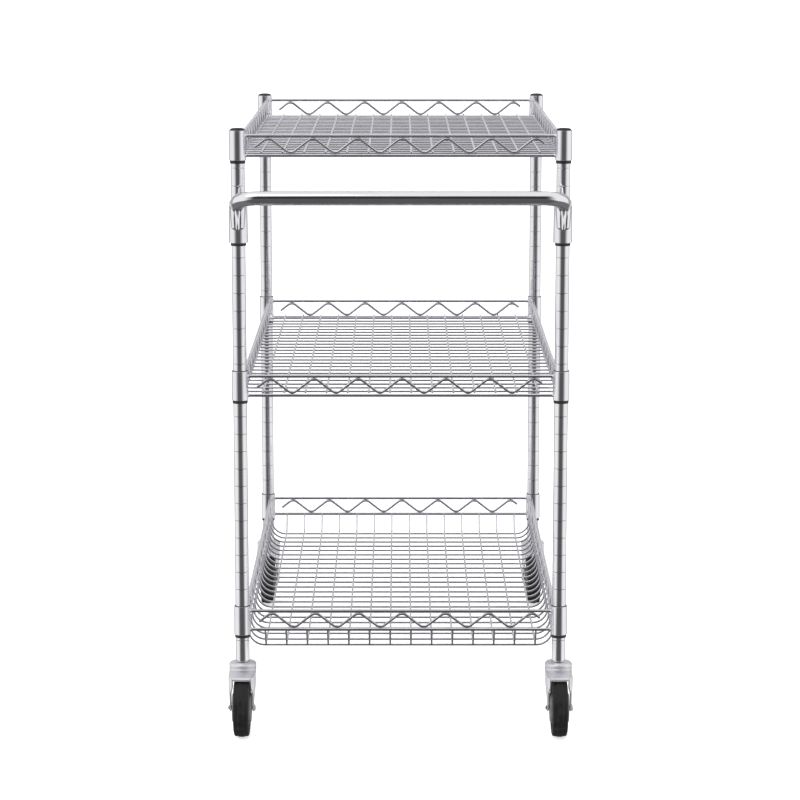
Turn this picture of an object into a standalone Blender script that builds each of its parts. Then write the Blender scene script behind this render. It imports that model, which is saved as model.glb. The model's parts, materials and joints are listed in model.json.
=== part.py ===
"""Wire shelf cart: two wire tray shelves and a wire basket on four posts, with a push handle and casters.

Metres, +Z up, handle towards -Y. The origin is on the floor, below the middle of the cart's box.
Each tier clamps on its posts by split taper sleeves, and each caster swivels about its post's axis.
"""

import math

import bmesh
import bpy
from mathutils import Vector

# --- Posts ---
POST_SPACING_X = 0.434
POST_SPACING_Y = 0.738
POST_RADIUS = 0.0095
POST_WALL = 0.0012
POST_FOOT = 0.0996
POST_TOP = 0.8264
CAP_RISE = 0.0031
CAP_RIM = 0.0008
CAP_STUB = 0.008
CAP_FLAT = 0.7
GAP = 0.0003
ROUND_SIDES = 12

# --- Tiers: each is placed by the height of its lower rail ---
TIER_HEIGHT = {"top_shelf": 0.7925, "middle_shelf": 0.4685, "basket": 0.1424}
RAIL_RADIUS = 0.00225
RAIL_SPACING = 0.0261
SIDE_RAIL_INSET = 0.004
COLLAR_RADIUS = 0.0115
COLLAR_BORE = 0.0106
COLLAR_BELOW = 0.0062
COLLAR_ABOVE = 0.0336
RAIL_END = 0.01075

# --- Wave wire between the rails ---
WAVE_PERIOD = 0.0594
WAVE_HALF_WIDTH = 0.0015
WAVE_FLAT = 0.004
WAVE_WELD = 0.003
END_WAVE_START, END_WAVE_STOP, END_WAVE_PEAK = -0.1944, 0.1914, 0.002
END_WAVE_COUNT = 7
SIDE_WAVE_REACH = 0.3417
SIDE_WAVE_COUNT = 12

# --- Deck and basket wires ---
CROSS_WIRE = 0.0030
CROSS_COUNT = 24
CROSS_PITCH = 0.030
LONG_WIRE = 0.0028
LONG_PITCH = 0.0286
LONG_PLACES = (-6.5, -0.5, 6.5)
LONG_LIFT = RAIL_RADIUS + GAP
WELD_DEPTH = 0.0003
BASKET_DROP = 0.0281
BASKET_BEND = 0.0213
LIP_RISE = 0.0005

# --- Split sleeves ---
SLEEVE_BORE = 0.0098
SLEEVE_RING = 0.0104
RING_HEIGHT = 0.0038
SLEEVE_PROUD = 0.0008
SLEEVE_SLIT = 0.001
SLIT_REACH = 0.02

# --- Push handle ---
HANDLE_REACH = 0.055
HANDLE_RADIUS = 0.0095
HANDLE_HEIGHT = 0.7410
HANDLE_BEND = 0.030
HANDLE_TILT = math.radians(18)
ELBOW_BEND = 0.007
PINCH_DEPTH = 0.008
PINCH_CLEAR = 0.0008
PINCH_DENT = 0.003
DENT_WIDTH = 0.0026
HANDLE_FOOT = 0.6943
ELBOW_WIDTH = 1.24
FOOT_WIDTH = 0.93
HANDLE_COLLAR_RADIUS = 0.013
HANDLE_COLLAR_BORE = 0.0110
HANDLE_COLLAR_LOW, HANDLE_COLLAR_HIGH = 0.6762, 0.7313

# --- Casters ---
WHEEL_RADIUS = 0.040
WHEEL_WIDTH = 0.0215
WHEEL_SIDES = 24
TYRE_BORE = 0.027
TYRE_BULGE = 0.0365
BORE_CHAMFER = 0.0012
TREAD_CHAMFER = 0.0035
CORE_HALF_WIDTH = 0.0136
CORE_SIDES = 16
BOSS_RADIUS = 0.0205
BOSS_FOOT = 0.0215
RIM_HALF_WIDTH = 0.0088
CASTER_TRAIL = 0.0296
STEM_RADIUS = 0.0052
STEM_BORE = 0.0056
STEM_TOP = 0.1183
STEM_CHAMFER = 0.001
RIVET_RADIUS = 0.0085
RIVET_THICKNESS = 0.0035
SOCKET_FLANGE = 0.0011
SOCKET_TOP = 0.1233

# --- Caster fork ---
HEAD_RADIUS = 0.019
HEAD_LOW = 0.0846
HEAD_SIDES = 16
DOME = [(0.0190, 0.0940), (0.0179, 0.0962), (0.0160, 0.0973), (STEM_BORE, 0.0978)]
PLATE_PLAN = [(-0.0172, -0.010), (-0.0170, -0.030), (-0.0124, -0.0392), (-0.0104, -0.0428)]
PLATE_TOP = 0.0892
PLATE_SLOPE = 0.11
PLATE_THICKNESS = 0.002
LIP_HALF_WIDTH = 0.0115
LIP_FRONT, LIP_BACK = -0.0432, -0.0414
LIP_LOW, LIP_HIGH = 0.0803, 0.0843
LEG_THICKNESS = 0.0022
BOLT_RADIUS = 0.0029
BOLT_REACH = 0.0190
BOLT_SEAT = 0.0170
NUT_RADIUS = 0.0048

# Each level of a cheek: height, outer half-width, how far its front edge curls in, rear edge, front edge.
LEG_LEVELS = [
    (0.0872, 0.0187, 0.0052, 0.0060, -0.0388),
    (0.0700, 0.0187, 0.0050, 0.0035, -0.0388),
    (0.0630, 0.0183, 0.0022, -0.0030, -0.0381),
    (0.0540, 0.0172, 0.0008, -0.0130, -0.0368),
    (0.0460, 0.0168, 0.0, -0.0222, -0.0358),
    (0.0400, 0.0168, 0.0, -0.0241, -0.0351),
    (0.0362, 0.0168, 0.0, -0.0257, -0.0335),
    (0.0345, 0.0168, 0.0, -0.0280, -0.0312),
]
CURL_LENGTH = 0.009

# The box reaches from the front tyres to the back of the rear caster heads: this puts its middle at y = 0.
MIDDLE_Y = (CASTER_TRAIL + WHEEL_RADIUS - HEAD_RADIUS) / 2
HALF_X = POST_SPACING_X / 2
HALF_Y = POST_SPACING_Y / 2
SIDE_RAIL_X = HALF_X - SIDE_RAIL_INSET
CORNERS = {
    "front_left": (-HALF_X, -HALF_Y),
    "front_right": (HALF_X, -HALF_Y),
    "rear_left": (-HALF_X, HALF_Y),
    "rear_right": (HALF_X, HALF_Y),
}


def clear_scene():
    for item in list(bpy.data.objects):
        bpy.data.objects.remove(item)


def make_material(name, colour, metallic, roughness):
    material = bpy.data.materials.new(name)
    material.use_nodes = True
    shader = material.node_tree.nodes["Principled BSDF"]
    shader.inputs["Base Color"].default_value = (*colour, 1.0)
    shader.inputs["Metallic"].default_value = metallic
    shader.inputs["Roughness"].default_value = roughness
    return material


# --- Shapes ---


def loft(rings, closed=False, holes=()):
    """Skin rings of points that have the same count; holes are a tube's inner rings, along the same path."""
    shape = bmesh.new()
    outer = [[shape.verts.new(point) for point in ring] for ring in rings]
    inner = [[shape.verts.new(point) for point in ring] for ring in holes]
    for wall in (outer, inner):
        spans = list(zip(wall, wall[1:]))
        if closed and wall:
            spans.append((wall[-1], wall[0]))
        for first, second in spans:
            for i in range(len(first)):
                j = (i + 1) % len(first)
                shape.faces.new((first[i], first[j], second[j], second[i]))
    for end in () if closed else (0, -1):
        if inner:
            count = len(outer[end])
            for i in range(count):
                j = (i + 1) % count
                shape.faces.new((outer[end][i], outer[end][j], inner[end][j], inner[end][i]))
        else:
            shape.faces.new(outer[end])
    bmesh.ops.recalc_face_normals(shape, faces=shape.faces)
    return shape


def turned(profile, sides, closed=True):
    """Spin (radius, height) points about Z: a closed profile makes a ring, an open one runs axis to axis."""
    shape = bmesh.new()
    points = [shape.verts.new((radius, 0, height)) for radius, height in profile]
    edges = [shape.edges.new(pair) for pair in zip(points, points[1:])]
    if closed:
        edges.append(shape.edges.new((points[-1], points[0])))
    bmesh.ops.spin(
        shape, geom=points + edges, cent=(0, 0, 0), axis=(0, 0, 1), angle=math.tau, steps=sides
    )
    bmesh.ops.remove_doubles(shape, verts=shape.verts, dist=1e-6)
    bmesh.ops.recalc_face_normals(shape, faces=shape.faces)
    return shape


def polygon(radius, sides):
    """A regular section whose flats face its two axes."""
    turn = math.tau / sides
    return [
        (radius * math.cos(turn * (i + 0.5)), radius * math.sin(turn * (i + 0.5))) for i in range(sides)
    ]


def square(width):
    half = width / 2
    return [(-half, -half), (half, -half), (half, half), (-half, half)]


def bar(points, section, normal):
    """Sweep a section along a path that lies in the plane across normal, with mitred corners."""
    points = [Vector(point) for point in points]
    normal = Vector(normal)
    rings = []
    for i, point in enumerate(points):
        before = (point - points[i - 1]).normalized() if i else None
        after = (points[i + 1] - point).normalized() if i + 1 < len(points) else before
        before = before or after
        along = (before + after).normalized()
        across = normal.cross(along) / along.dot(after)
        rings.append([point + normal * a + across * b for a, b in section])
    return loft(rings)


def gather(shapes):
    """One mesh of shapes that lie clear of each other."""
    whole = bmesh.new()
    for shape in shapes:
        part = finish_mesh(shape, "piece")
        whole.from_mesh(part)
        bpy.data.meshes.remove(part)
    return whole


def finish_mesh(shape, name):
    mesh = bpy.data.meshes.new(name)
    shape.to_mesh(mesh)
    shape.free()
    return mesh


def moved(shape, offset):
    bmesh.ops.translate(shape, verts=shape.verts, vec=offset)
    return shape


def combined(name, base, *steps):
    """The mesh that is left when each (operation, shape) has been applied to base in turn."""
    body = bpy.data.objects.new(name, finish_mesh(base, name))
    bpy.context.collection.objects.link(body)
    tools = []
    for operation, shape in steps:
        tool = bpy.data.objects.new("tool", finish_mesh(shape, "tool"))
        tool.hide_render = True
        tool.display_type = "WIRE"
        bpy.context.collection.objects.link(tool)
        tools.append(tool)
        modifier = body.modifiers.new(operation.lower(), "BOOLEAN")
        modifier.operation = operation
        modifier.solver = "EXACT"
        modifier.object = tool
    bpy.context.view_layer.update()
    ready = body.evaluated_get(bpy.context.evaluated_depsgraph_get())
    mesh = bpy.data.meshes.new_from_object(ready)
    mesh.name = name
    for item in (body, *tools):
        bpy.data.objects.remove(item)
    return mesh


def add_part(name, mesh, material, location=(0, 0, 0), parent=None, lies_along_x=False, smooth=False):
    if not mesh.materials:
        mesh.materials.append(material)
    if smooth:
        mesh.shade_smooth()
        mesh.set_sharp_from_angle(angle=math.radians(35))
    part = bpy.data.objects.new(name, mesh)
    bpy.context.collection.objects.link(part)
    part.location = location
    part.rotation_euler = (0, math.pi / 2 if lies_along_x else 0, 0)
    part.parent = parent
    return part


def add_pivot(name, location, parent=None):
    pivot = bpy.data.objects.new(name, None)
    bpy.context.collection.objects.link(pivot)
    pivot.location = location
    pivot.parent = parent
    return pivot


# --- Posts, caps and sleeves ---


def post_mesh():
    bore = POST_RADIUS - POST_WALL
    profile = [(bore, POST_FOOT), (POST_RADIUS, POST_FOOT), (POST_RADIUS, POST_TOP), (bore, POST_TOP)]
    return finish_mesh(turned(profile, ROUND_SIDES), "post")


def cap_mesh():
    """A press-in plug: a slightly domed disc on the post's end with a stub down its bore."""
    stub = POST_RADIUS - POST_WALL - GAP
    low = POST_TOP + GAP
    profile = [
        (0, low - CAP_STUB),
        (stub, low - CAP_STUB),
        (stub, low),
        (POST_RADIUS, low),
        (POST_RADIUS, low + CAP_RIM),
        (POST_RADIUS * CAP_FLAT, POST_TOP + CAP_RISE),
        (0, POST_TOP + CAP_RISE),
    ]
    return finish_mesh(turned(profile, ROUND_SIDES, closed=False), "cap")


def sleeve_mesh(name, low, high, wall):
    """A split sleeve: the ring under the collar, and the wall that stands in the collar's bore."""
    profile = [
        (SLEEVE_BORE, low - GAP - RING_HEIGHT),
        (SLEEVE_RING, low - GAP - RING_HEIGHT),
        (SLEEVE_RING, low - GAP),
        (wall, low - GAP),
        (wall, high + SLEEVE_PROUD),
        (SLEEVE_BORE, high + SLEEVE_PROUD),
    ]
    reach = (high - low) + 2 * RING_HEIGHT
    half = SLEEVE_SLIT / 2
    slit = bar(
        [(0, 0, low - 2 * RING_HEIGHT), (0, 0, low + reach)],
        [(-half, 0), (half, 0), (half, SLIT_REACH), (-half, SLIT_REACH)],
        (0, 1, 0),
    )
    return combined(name, turned(profile, ROUND_SIDES), ("DIFFERENCE", slit))


# --- Tiers ---


def wave_path(start, stop, first_peak, count):
    """(along, height) points of a wave that is welded to the rails at its first and last peaks."""
    half_period = WAVE_PERIOD / 2
    clear = RAIL_RADIUS + GAP + WAVE_HALF_WIDTH
    turns = []
    for k in range(2 * count - 1):
        place = first_peak + k * half_period
        weld = k in (0, 2 * count - 2)
        height = RAIL_SPACING - (WAVE_WELD if weld else clear) if k % 2 == 0 else clear
        turns.append((place - WAVE_FLAT, height))
        turns.append((place + WAVE_FLAT, height))
    fall = (RAIL_SPACING - 2 * clear) / (half_period - 2 * WAVE_FLAT)
    first, last = turns[0], turns[-1]
    begin = (start, first[1] - fall * (first[0] - start))
    end = (stop, last[1] - fall * (stop - last[0]))
    return [begin, *turns, end]


def shelf_frame_mesh():
    """Welded collars, rails and wave wires about the posts' middle, with the lower rails at z = 0."""
    ring = [
        (COLLAR_BORE, -COLLAR_BELOW),
        (COLLAR_RADIUS, -COLLAR_BELOW),
        (COLLAR_RADIUS, COLLAR_ABOVE),
        (COLLAR_BORE, COLLAR_ABOVE),
    ]
    collars = [moved(turned(ring, ROUND_SIDES), (x, y, 0)) for x, y in CORNERS.values()]
    end_x, end_y = HALF_X - RAIL_END, HALF_Y - RAIL_END
    section = polygon(RAIL_RADIUS, 6)
    rails = []
    for z in (0, RAIL_SPACING):
        for side in (-1, 1):
            y, x = side * HALF_Y, side * SIDE_RAIL_X
            rails.append(bar([(-end_x, y, z), (end_x, y, z)], section, (0, 1, 0)))
            rails.append(bar([(x, -end_y, z), (x, end_y, z)], section, (1, 0, 0)))
    wave_section = square(2 * WAVE_HALF_WIDTH)
    end_peak = END_WAVE_PEAK - (END_WAVE_COUNT - 1) / 2 * WAVE_PERIOD
    end_wave = wave_path(END_WAVE_START, END_WAVE_STOP, end_peak, END_WAVE_COUNT)
    side_peak = -(SIDE_WAVE_COUNT - 1) / 2 * WAVE_PERIOD
    side_wave = wave_path(-SIDE_WAVE_REACH, SIDE_WAVE_REACH, side_peak, SIDE_WAVE_COUNT)
    waves = []
    for side in (-1, 1):
        waves.append(bar([(u, side * HALF_Y, z) for u, z in end_wave], wave_section, (0, 1, 0)))
        waves.append(bar([(side * SIDE_RAIL_X, u, z) for u, z in side_wave], wave_section, (1, 0, 0)))
    return combined("shelf_frame", gather(collars), ("UNION", gather(rails)), ("UNION", gather(waves)))


def cross_places():
    return [(i - (CROSS_COUNT - 1) / 2) * CROSS_PITCH for i in range(CROSS_COUNT)]


def long_places():
    return [k * LONG_PITCH for k in LONG_PLACES]


def deck_mesh():
    """A flat mat: cross wires between the side rails, and long wires over them that lap the end rails."""
    reach = SIDE_RAIL_X - RAIL_RADIUS - GAP
    cross_z = LONG_LIFT + WELD_DEPTH - CROSS_WIRE / 2
    cross = [
        bar([(-reach, y, cross_z), (reach, y, cross_z)], square(CROSS_WIRE), (0, 1, 0))
        for y in cross_places()
    ]
    end = HALF_Y - WAVE_HALF_WIDTH - 2 * GAP
    long_z = LONG_LIFT + LONG_WIRE / 2
    longs = [
        bar([(x, -end, long_z), (x, end, long_z)], square(LONG_WIRE), (1, 0, 0)) for x in long_places()
    ]
    return combined("deck", gather(cross), ("UNION", gather(longs)))


def basket_mesh():
    """A shallow tub: the floor's cross wires curve up to the side rails, its long wires to the end rails."""
    side = SIDE_RAIL_X - RAIL_RADIUS - GAP - CROSS_WIRE / 2
    bend = [math.radians(angle) for angle in (0, 45, 90)]
    curve = [
        (side - BASKET_BEND * (1 - math.sin(a)), BASKET_BEND * (1 - math.cos(a)) - BASKET_DROP)
        for a in bend
    ]
    half = [*curve, (side, LIP_RISE)]
    profile = [(-x, z) for x, z in reversed(half)] + half
    cross = [bar([(x, y, z) for x, z in profile], square(CROSS_WIRE), (0, 1, 0)) for y in cross_places()]
    end = HALF_Y - RAIL_RADIUS - GAP - LONG_WIRE / 2
    foot = cross_places()[-1] + CROSS_WIRE
    long_z = -BASKET_DROP + (CROSS_WIRE + LONG_WIRE) / 2 - WELD_DEPTH
    rise = [(foot, long_z), (end, -RAIL_RADIUS), (end, LIP_RISE)]
    route = [(-y, z) for y, z in reversed(rise)] + rise
    longs = [bar([(x, y, z) for y, z in route], square(LONG_WIRE), (1, 0, 0)) for x in long_places()]
    return combined("wire_basket", gather(cross), ("UNION", gather(longs)))


# --- Push handle ---


def handle_section(angle, pinch, width, radius):
    """(across, under) of a tube section: round at pinch 0, at 1 pressed round the collar with a crease."""
    across, under = width * radius * math.sin(angle), radius * math.cos(angle)
    collar = HANDLE_COLLAR_RADIUS + PINCH_CLEAR
    shrink = HANDLE_RADIUS - radius
    depth = PINCH_DEPTH - 2 * shrink
    back = shrink - PINCH_DEPTH / 2 - collar + math.sqrt(collar**2 - across**2)
    crease = PINCH_DENT * math.exp(-((across / DENT_WIDTH) ** 2))
    front = back + depth * math.cos(angle) ** 0.8 - crease if math.cos(angle) > 0 else back
    return across, (1 - pinch) * under + pinch * front


def handle_stations():
    """(place, under, side, pinch, width) along half the handle, from the bar's middle to its foot."""
    back = Vector((0, math.cos(HANDLE_TILT), -math.sin(HANDLE_TILT)))
    under = Vector((0, -math.sin(HANDLE_TILT), -math.cos(HANDLE_TILT)))
    out = Vector((1, 0, 0))
    corner = Vector((HALF_X - HANDLE_BEND, -HALF_Y - HANDLE_REACH, HANDLE_HEIGHT))
    stations = [(Vector((0, corner.y, corner.z)), under, back, 0.0, 1.0)]
    for turn in range(5):
        a = turn * math.pi / 8
        place = corner + out * HANDLE_BEND * math.sin(a) + back * HANDLE_BEND * (1 - math.cos(a))
        stations.append((place, under, back * math.cos(a) - out * math.sin(a), 0.0, 1.0))
    foot_y = -HALF_Y - HANDLE_COLLAR_RADIUS - PINCH_CLEAR - PINCH_DEPTH / 2
    elbow = math.pi / 2 - HANDLE_TILT
    rise = ELBOW_BEND * (1 - math.sin(HANDLE_TILT))
    start = corner + out * HANDLE_BEND + back * ((foot_y - rise - corner.y) / back.y)
    centre = start + under * ELBOW_BEND
    for turn, pinch in ((0, 0.35), (0.5, 0.7), (1, 1.0)):
        a = turn * elbow
        to_under = under * math.cos(a) - back * math.sin(a)
        width = 1 + (ELBOW_WIDTH - 1) * pinch
        stations.append((centre - to_under * ELBOW_BEND, to_under, -out, pinch, width))
    stations.append((Vector((HALF_X, foot_y, HANDLE_FOOT)), Vector((0, -1, 0)), -out, 1.0, FOOT_WIDTH))
    return stations


def handle_mesh():
    angles = [math.tau * i / ROUND_SIDES for i in range(ROUND_SIDES)]
    walls = []
    for radius in (HANDLE_RADIUS, HANDLE_RADIUS - POST_WALL):
        half = []
        for place, under, side, pinch, width in handle_stations():
            section = [handle_section(angle, pinch, width, radius) for angle in angles]
            half.append([place + side * a + under * u for a, u in section])
        mirrored = [[Vector((-p.x, p.y, p.z)) for p in ring] for ring in reversed(half[1:])]
        walls.append(mirrored + half)
    return finish_mesh(loft(walls[0], holes=walls[1]), "push_handle")


# --- Casters: the swivel axis is x = y = 0, the wheel trails towards -Y ---


def socket_mesh():
    """The insert in a post's foot that holds the caster's stem."""
    bore = STEM_RADIUS + GAP
    plug = POST_RADIUS - POST_WALL - GAP
    flange = POST_FOOT - GAP
    profile = [
        (bore, flange - SOCKET_FLANGE),
        (POST_RADIUS, flange - SOCKET_FLANGE),
        (POST_RADIUS, flange),
        (plug, flange),
        (plug, SOCKET_TOP),
        (bore, SOCKET_TOP),
    ]
    return finish_mesh(turned(profile, ROUND_SIDES), "socket")


def stem_mesh():
    """The fixed stem, with the riveted flange below that carries the swivel head."""
    flange = HEAD_LOW - GAP
    profile = [
        (0, flange - RIVET_THICKNESS),
        (RIVET_RADIUS, flange - RIVET_THICKNESS),
        (RIVET_RADIUS, flange),
        (STEM_RADIUS, flange),
        (STEM_RADIUS, STEM_TOP - 2 * STEM_CHAMFER),
        (STEM_RADIUS - STEM_CHAMFER, STEM_TOP),
        (0, STEM_TOP),
    ]
    return finish_mesh(turned(profile, ROUND_SIDES, closed=False), "stem")


def leg(side):
    """One fork cheek: a plate that narrows to a round end at the axle, its front edge curled to the tyre."""
    rings = []
    for z, outer, curl, rear, front in LEG_LEVELS:
        length = min(CURL_LENGTH, (rear - front) / 2)
        plan = [(outer, rear), (outer, front + length), (outer - 0.3 * curl, front + 0.35 * length)]
        plan.append((outer - curl, front))
        ring = plan + [(x - LEG_THICKNESS, y) for x, y in reversed(plan)]
        rings.append([Vector((side * x, y, z)) for x, y in ring])
    return loft(rings)


def fork_mesh():
    """Domed swivel head, sloped plate with a turned-down lip, and two cheeks with the axle hole."""
    head = turned([(STEM_BORE, HEAD_LOW), (HEAD_RADIUS, HEAD_LOW), *DOME], HEAD_SIDES)
    plan = PLATE_PLAN + [(-x, y) for x, y in reversed(PLATE_PLAN)]
    plate = loft(
        [
            [Vector((x, y, z + PLATE_SLOPE * y)) for x, y in plan]
            for z in (PLATE_TOP - PLATE_THICKNESS, PLATE_TOP)
        ]
    )
    half = LIP_HALF_WIDTH
    lip_plan = [(-half, LIP_FRONT), (half, LIP_FRONT), (half, LIP_BACK), (-half, LIP_BACK)]
    lip = loft([[Vector((x, y, z)) for x, y in lip_plan] for z in (LIP_LOW, LIP_HIGH)])
    reach = 2 * BOLT_SEAT
    hole = bar(
        [(-reach, -CASTER_TRAIL, WHEEL_RADIUS), (reach, -CASTER_TRAIL, WHEEL_RADIUS)],
        polygon(BOLT_RADIUS + 2 * GAP, ROUND_SIDES),
        (0, 1, 0),
    )
    return combined(
        "fork",
        head,
        ("UNION", plate),
        ("UNION", lip),
        ("UNION", gather([leg(-1), leg(1)])),
        ("DIFFERENCE", hole),
    )


def bolt_mesh():
    """Axle bolt along local Z: a hexagon-size head at one end, a peened end at the other."""
    profile = [
        (0, -BOLT_REACH),
        (BOLT_RADIUS, -BOLT_REACH),
        (BOLT_RADIUS, BOLT_SEAT),
        (NUT_RADIUS, BOLT_SEAT),
        (NUT_RADIUS, BOLT_REACH),
        (0, BOLT_REACH),
    ]
    return finish_mesh(turned(profile, ROUND_SIDES, closed=False), "axle_bolt")


def tyre_mesh():
    half = WHEEL_WIDTH / 2
    side = [(TYRE_BORE, half - BORE_CHAMFER), (TYRE_BULGE, half), (WHEEL_RADIUS, half - TREAD_CHAMFER)]
    profile = side + [(radius, -width) for radius, width in reversed(side)]
    return finish_mesh(turned(profile, WHEEL_SIDES), "tyre")


def core_mesh():
    """The wheel's rim, with a boss on each side that fills the space between tyre and cheeks."""
    bore = BOLT_RADIUS + 2 * GAP
    side = [(bore, CORE_HALF_WIDTH), (BOSS_RADIUS, CORE_HALF_WIDTH), (BOSS_FOOT, RIM_HALF_WIDTH)]
    side.append((TYRE_BORE - GAP, RIM_HALF_WIDTH))
    profile = side + [(radius, -width) for radius, width in reversed(side)]
    return finish_mesh(turned(profile, CORE_SIDES), "wheel_core")


# --- Assembly ---


def build_posts(chrome, black, steel):
    post, cap, socket = post_mesh(), cap_mesh(), socket_mesh()
    for corner, (x, y) in CORNERS.items():
        place = (x, y + MIDDLE_Y, 0)
        add_part(f"post_{corner}", post, chrome, place, smooth=True)
        add_part(f"post_cap_{corner}", cap, black, place)
        add_part(f"caster_socket_{corner}", socket, steel, place)


def build_tiers(chrome, black):
    frame, deck = shelf_frame_mesh(), deck_mesh()
    wall = COLLAR_BORE - GAP
    sleeve = sleeve_mesh("sleeve", -COLLAR_BELOW, COLLAR_ABOVE, wall)
    mats = {"top_shelf": ("deck", deck), "middle_shelf": ("deck", deck), "basket": ("wires", basket_mesh())}
    for tier, height in TIER_HEIGHT.items():
        place = (0, MIDDLE_Y, height)
        add_part(f"{tier}_frame", frame, chrome, place)
        kind, mat = mats[tier]
        add_part(f"{tier}_{kind}", mat, chrome, place)
        for corner, (x, y) in CORNERS.items():
            add_part(f"sleeve_{tier}_{corner}", sleeve, black, (x, y + MIDDLE_Y, height))


def build_handle(chrome, black):
    add_part("push_handle", handle_mesh(), chrome, (0, MIDDLE_Y, 0), smooth=True)
    low, high = HANDLE_COLLAR_LOW, HANDLE_COLLAR_HIGH
    ring = [(HANDLE_COLLAR_BORE, low), (HANDLE_COLLAR_RADIUS, low), (HANDLE_COLLAR_RADIUS, high)]
    ring.append((HANDLE_COLLAR_BORE, high))
    collar = finish_mesh(turned(ring, ROUND_SIDES), "handle_collar")
    sleeve = sleeve_mesh("handle_sleeve", low, high, HANDLE_COLLAR_BORE - GAP)
    for side, x in (("left", -HALF_X), ("right", HALF_X)):
        place = (x, MIDDLE_Y - HALF_Y, 0)
        add_part(f"handle_collar_{side}", collar, chrome, place, smooth=True)
        add_part(f"sleeve_handle_{side}", sleeve, black, place)


def build_casters(steel, rubber, plastic, dark_steel):
    stem, fork, bolt, tyre, core = stem_mesh(), fork_mesh(), bolt_mesh(), tyre_mesh(), core_mesh()
    for corner, (x, y) in CORNERS.items():
        place = (x, y + MIDDLE_Y, 0)
        add_part(f"caster_stem_{corner}", stem, steel, place)
        swivel = add_pivot(f"swivel_axis_{corner}", place)
        axle = add_pivot(f"wheel_axis_{corner}", (0, -CASTER_TRAIL, WHEEL_RADIUS), swivel)
        add_part(f"caster_fork_{corner}", fork, steel, parent=swivel)
        add_part(f"axle_bolt_{corner}", bolt, dark_steel, parent=axle, lies_along_x=True)
        add_part(f"tyre_{corner}", tyre, rubber, parent=axle, lies_along_x=True, smooth=True)
        add_part(f"wheel_core_{corner}", core, plastic, parent=axle, lies_along_x=True)


def main():
    clear_scene()
    chrome = make_material("chrome", (0.78, 0.78, 0.80), 1.0, 0.12)
    steel = make_material("zinc_steel", (0.66, 0.66, 0.68), 1.0, 0.30)
    dark_steel = make_material("dark_steel", (0.10, 0.10, 0.11), 1.0, 0.45)
    black = make_material("black_plastic", (0.015, 0.015, 0.016), 0.0, 0.45)
    rubber = make_material("black_rubber", (0.012, 0.012, 0.013), 0.0, 0.70)
    plastic = make_material("grey_plastic", (0.12, 0.12, 0.13), 0.0, 0.50)
    build_posts(chrome, black, steel)
    build_tiers(chrome, black)
    build_handle(chrome, black)
    build_casters(steel, rubber, plastic, dark_steel)


main()
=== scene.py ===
"""Looks for the wire shelf cart: grooved chrome posts, round welded wire, split sleeves and pressed casters.

Metres, +Z up, handle towards -Y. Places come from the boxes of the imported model's nodes, and each visible
piece stands for one of those nodes.
"""

import json
import math

import bmesh
import bpy
from mathutils import Matrix, Vector


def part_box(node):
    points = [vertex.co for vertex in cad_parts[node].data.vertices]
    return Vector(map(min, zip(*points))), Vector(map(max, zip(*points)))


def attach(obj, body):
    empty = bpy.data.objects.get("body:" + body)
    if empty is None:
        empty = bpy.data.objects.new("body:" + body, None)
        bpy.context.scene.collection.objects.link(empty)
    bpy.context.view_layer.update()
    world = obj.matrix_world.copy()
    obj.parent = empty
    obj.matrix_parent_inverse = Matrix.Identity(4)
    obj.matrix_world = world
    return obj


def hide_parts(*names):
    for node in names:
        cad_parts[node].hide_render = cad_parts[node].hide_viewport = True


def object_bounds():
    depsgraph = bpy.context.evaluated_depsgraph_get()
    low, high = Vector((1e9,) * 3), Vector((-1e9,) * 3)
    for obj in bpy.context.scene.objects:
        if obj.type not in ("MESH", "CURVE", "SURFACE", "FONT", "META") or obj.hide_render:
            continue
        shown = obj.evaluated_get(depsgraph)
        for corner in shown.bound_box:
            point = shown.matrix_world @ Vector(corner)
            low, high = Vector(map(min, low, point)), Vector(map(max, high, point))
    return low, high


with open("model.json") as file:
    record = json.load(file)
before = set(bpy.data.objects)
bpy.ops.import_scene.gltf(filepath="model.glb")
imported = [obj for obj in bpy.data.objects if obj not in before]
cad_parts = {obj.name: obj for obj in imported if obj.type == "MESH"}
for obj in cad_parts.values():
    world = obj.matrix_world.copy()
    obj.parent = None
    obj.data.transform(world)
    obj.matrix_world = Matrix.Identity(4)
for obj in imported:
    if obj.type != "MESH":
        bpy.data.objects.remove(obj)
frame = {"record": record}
cad_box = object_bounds()

MERGE = 1e-7
FULL_TURN = math.tau
TUBE_SIDES = 40
WIRE_SIDES = 14
RAIL_SIDES = 18
CROSS_SIDES = 10
LONG_SIDES = 12
SHARP = math.radians(38)
ALONG_X = Matrix.Rotation(math.pi / 2, 4, "Y")

# A rounded corner: the share of a side that its arc may take, and where the points beside the arc stand.
ARC_LIMIT = 0.47
HOLD_REACH = 1.4
HOLD_LIMIT = 1.02

# A wire's cropped end: the length of its broken edge and the size of its face, in wire radii.
CROP_LENGTH = 0.45
CROP_FACE = 0.6

# --- Posts and caps ---
POST_WALL = 0.0012
POST_EDGE = 0.0004
GROOVE_PITCH = 0.024
GROOVE_START = 0.0043
GROOVE_HALF = 0.0007
GROOVE_DEPTH = 0.0002
CAP_RIM_SHARE = 0.30
CAP_DOME_SHARE = 0.65
CAP_DOME_ANGLES = [math.radians(10 * k) for k in range(9)]
CAP_STUB_TAPER = 0.0006

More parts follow.
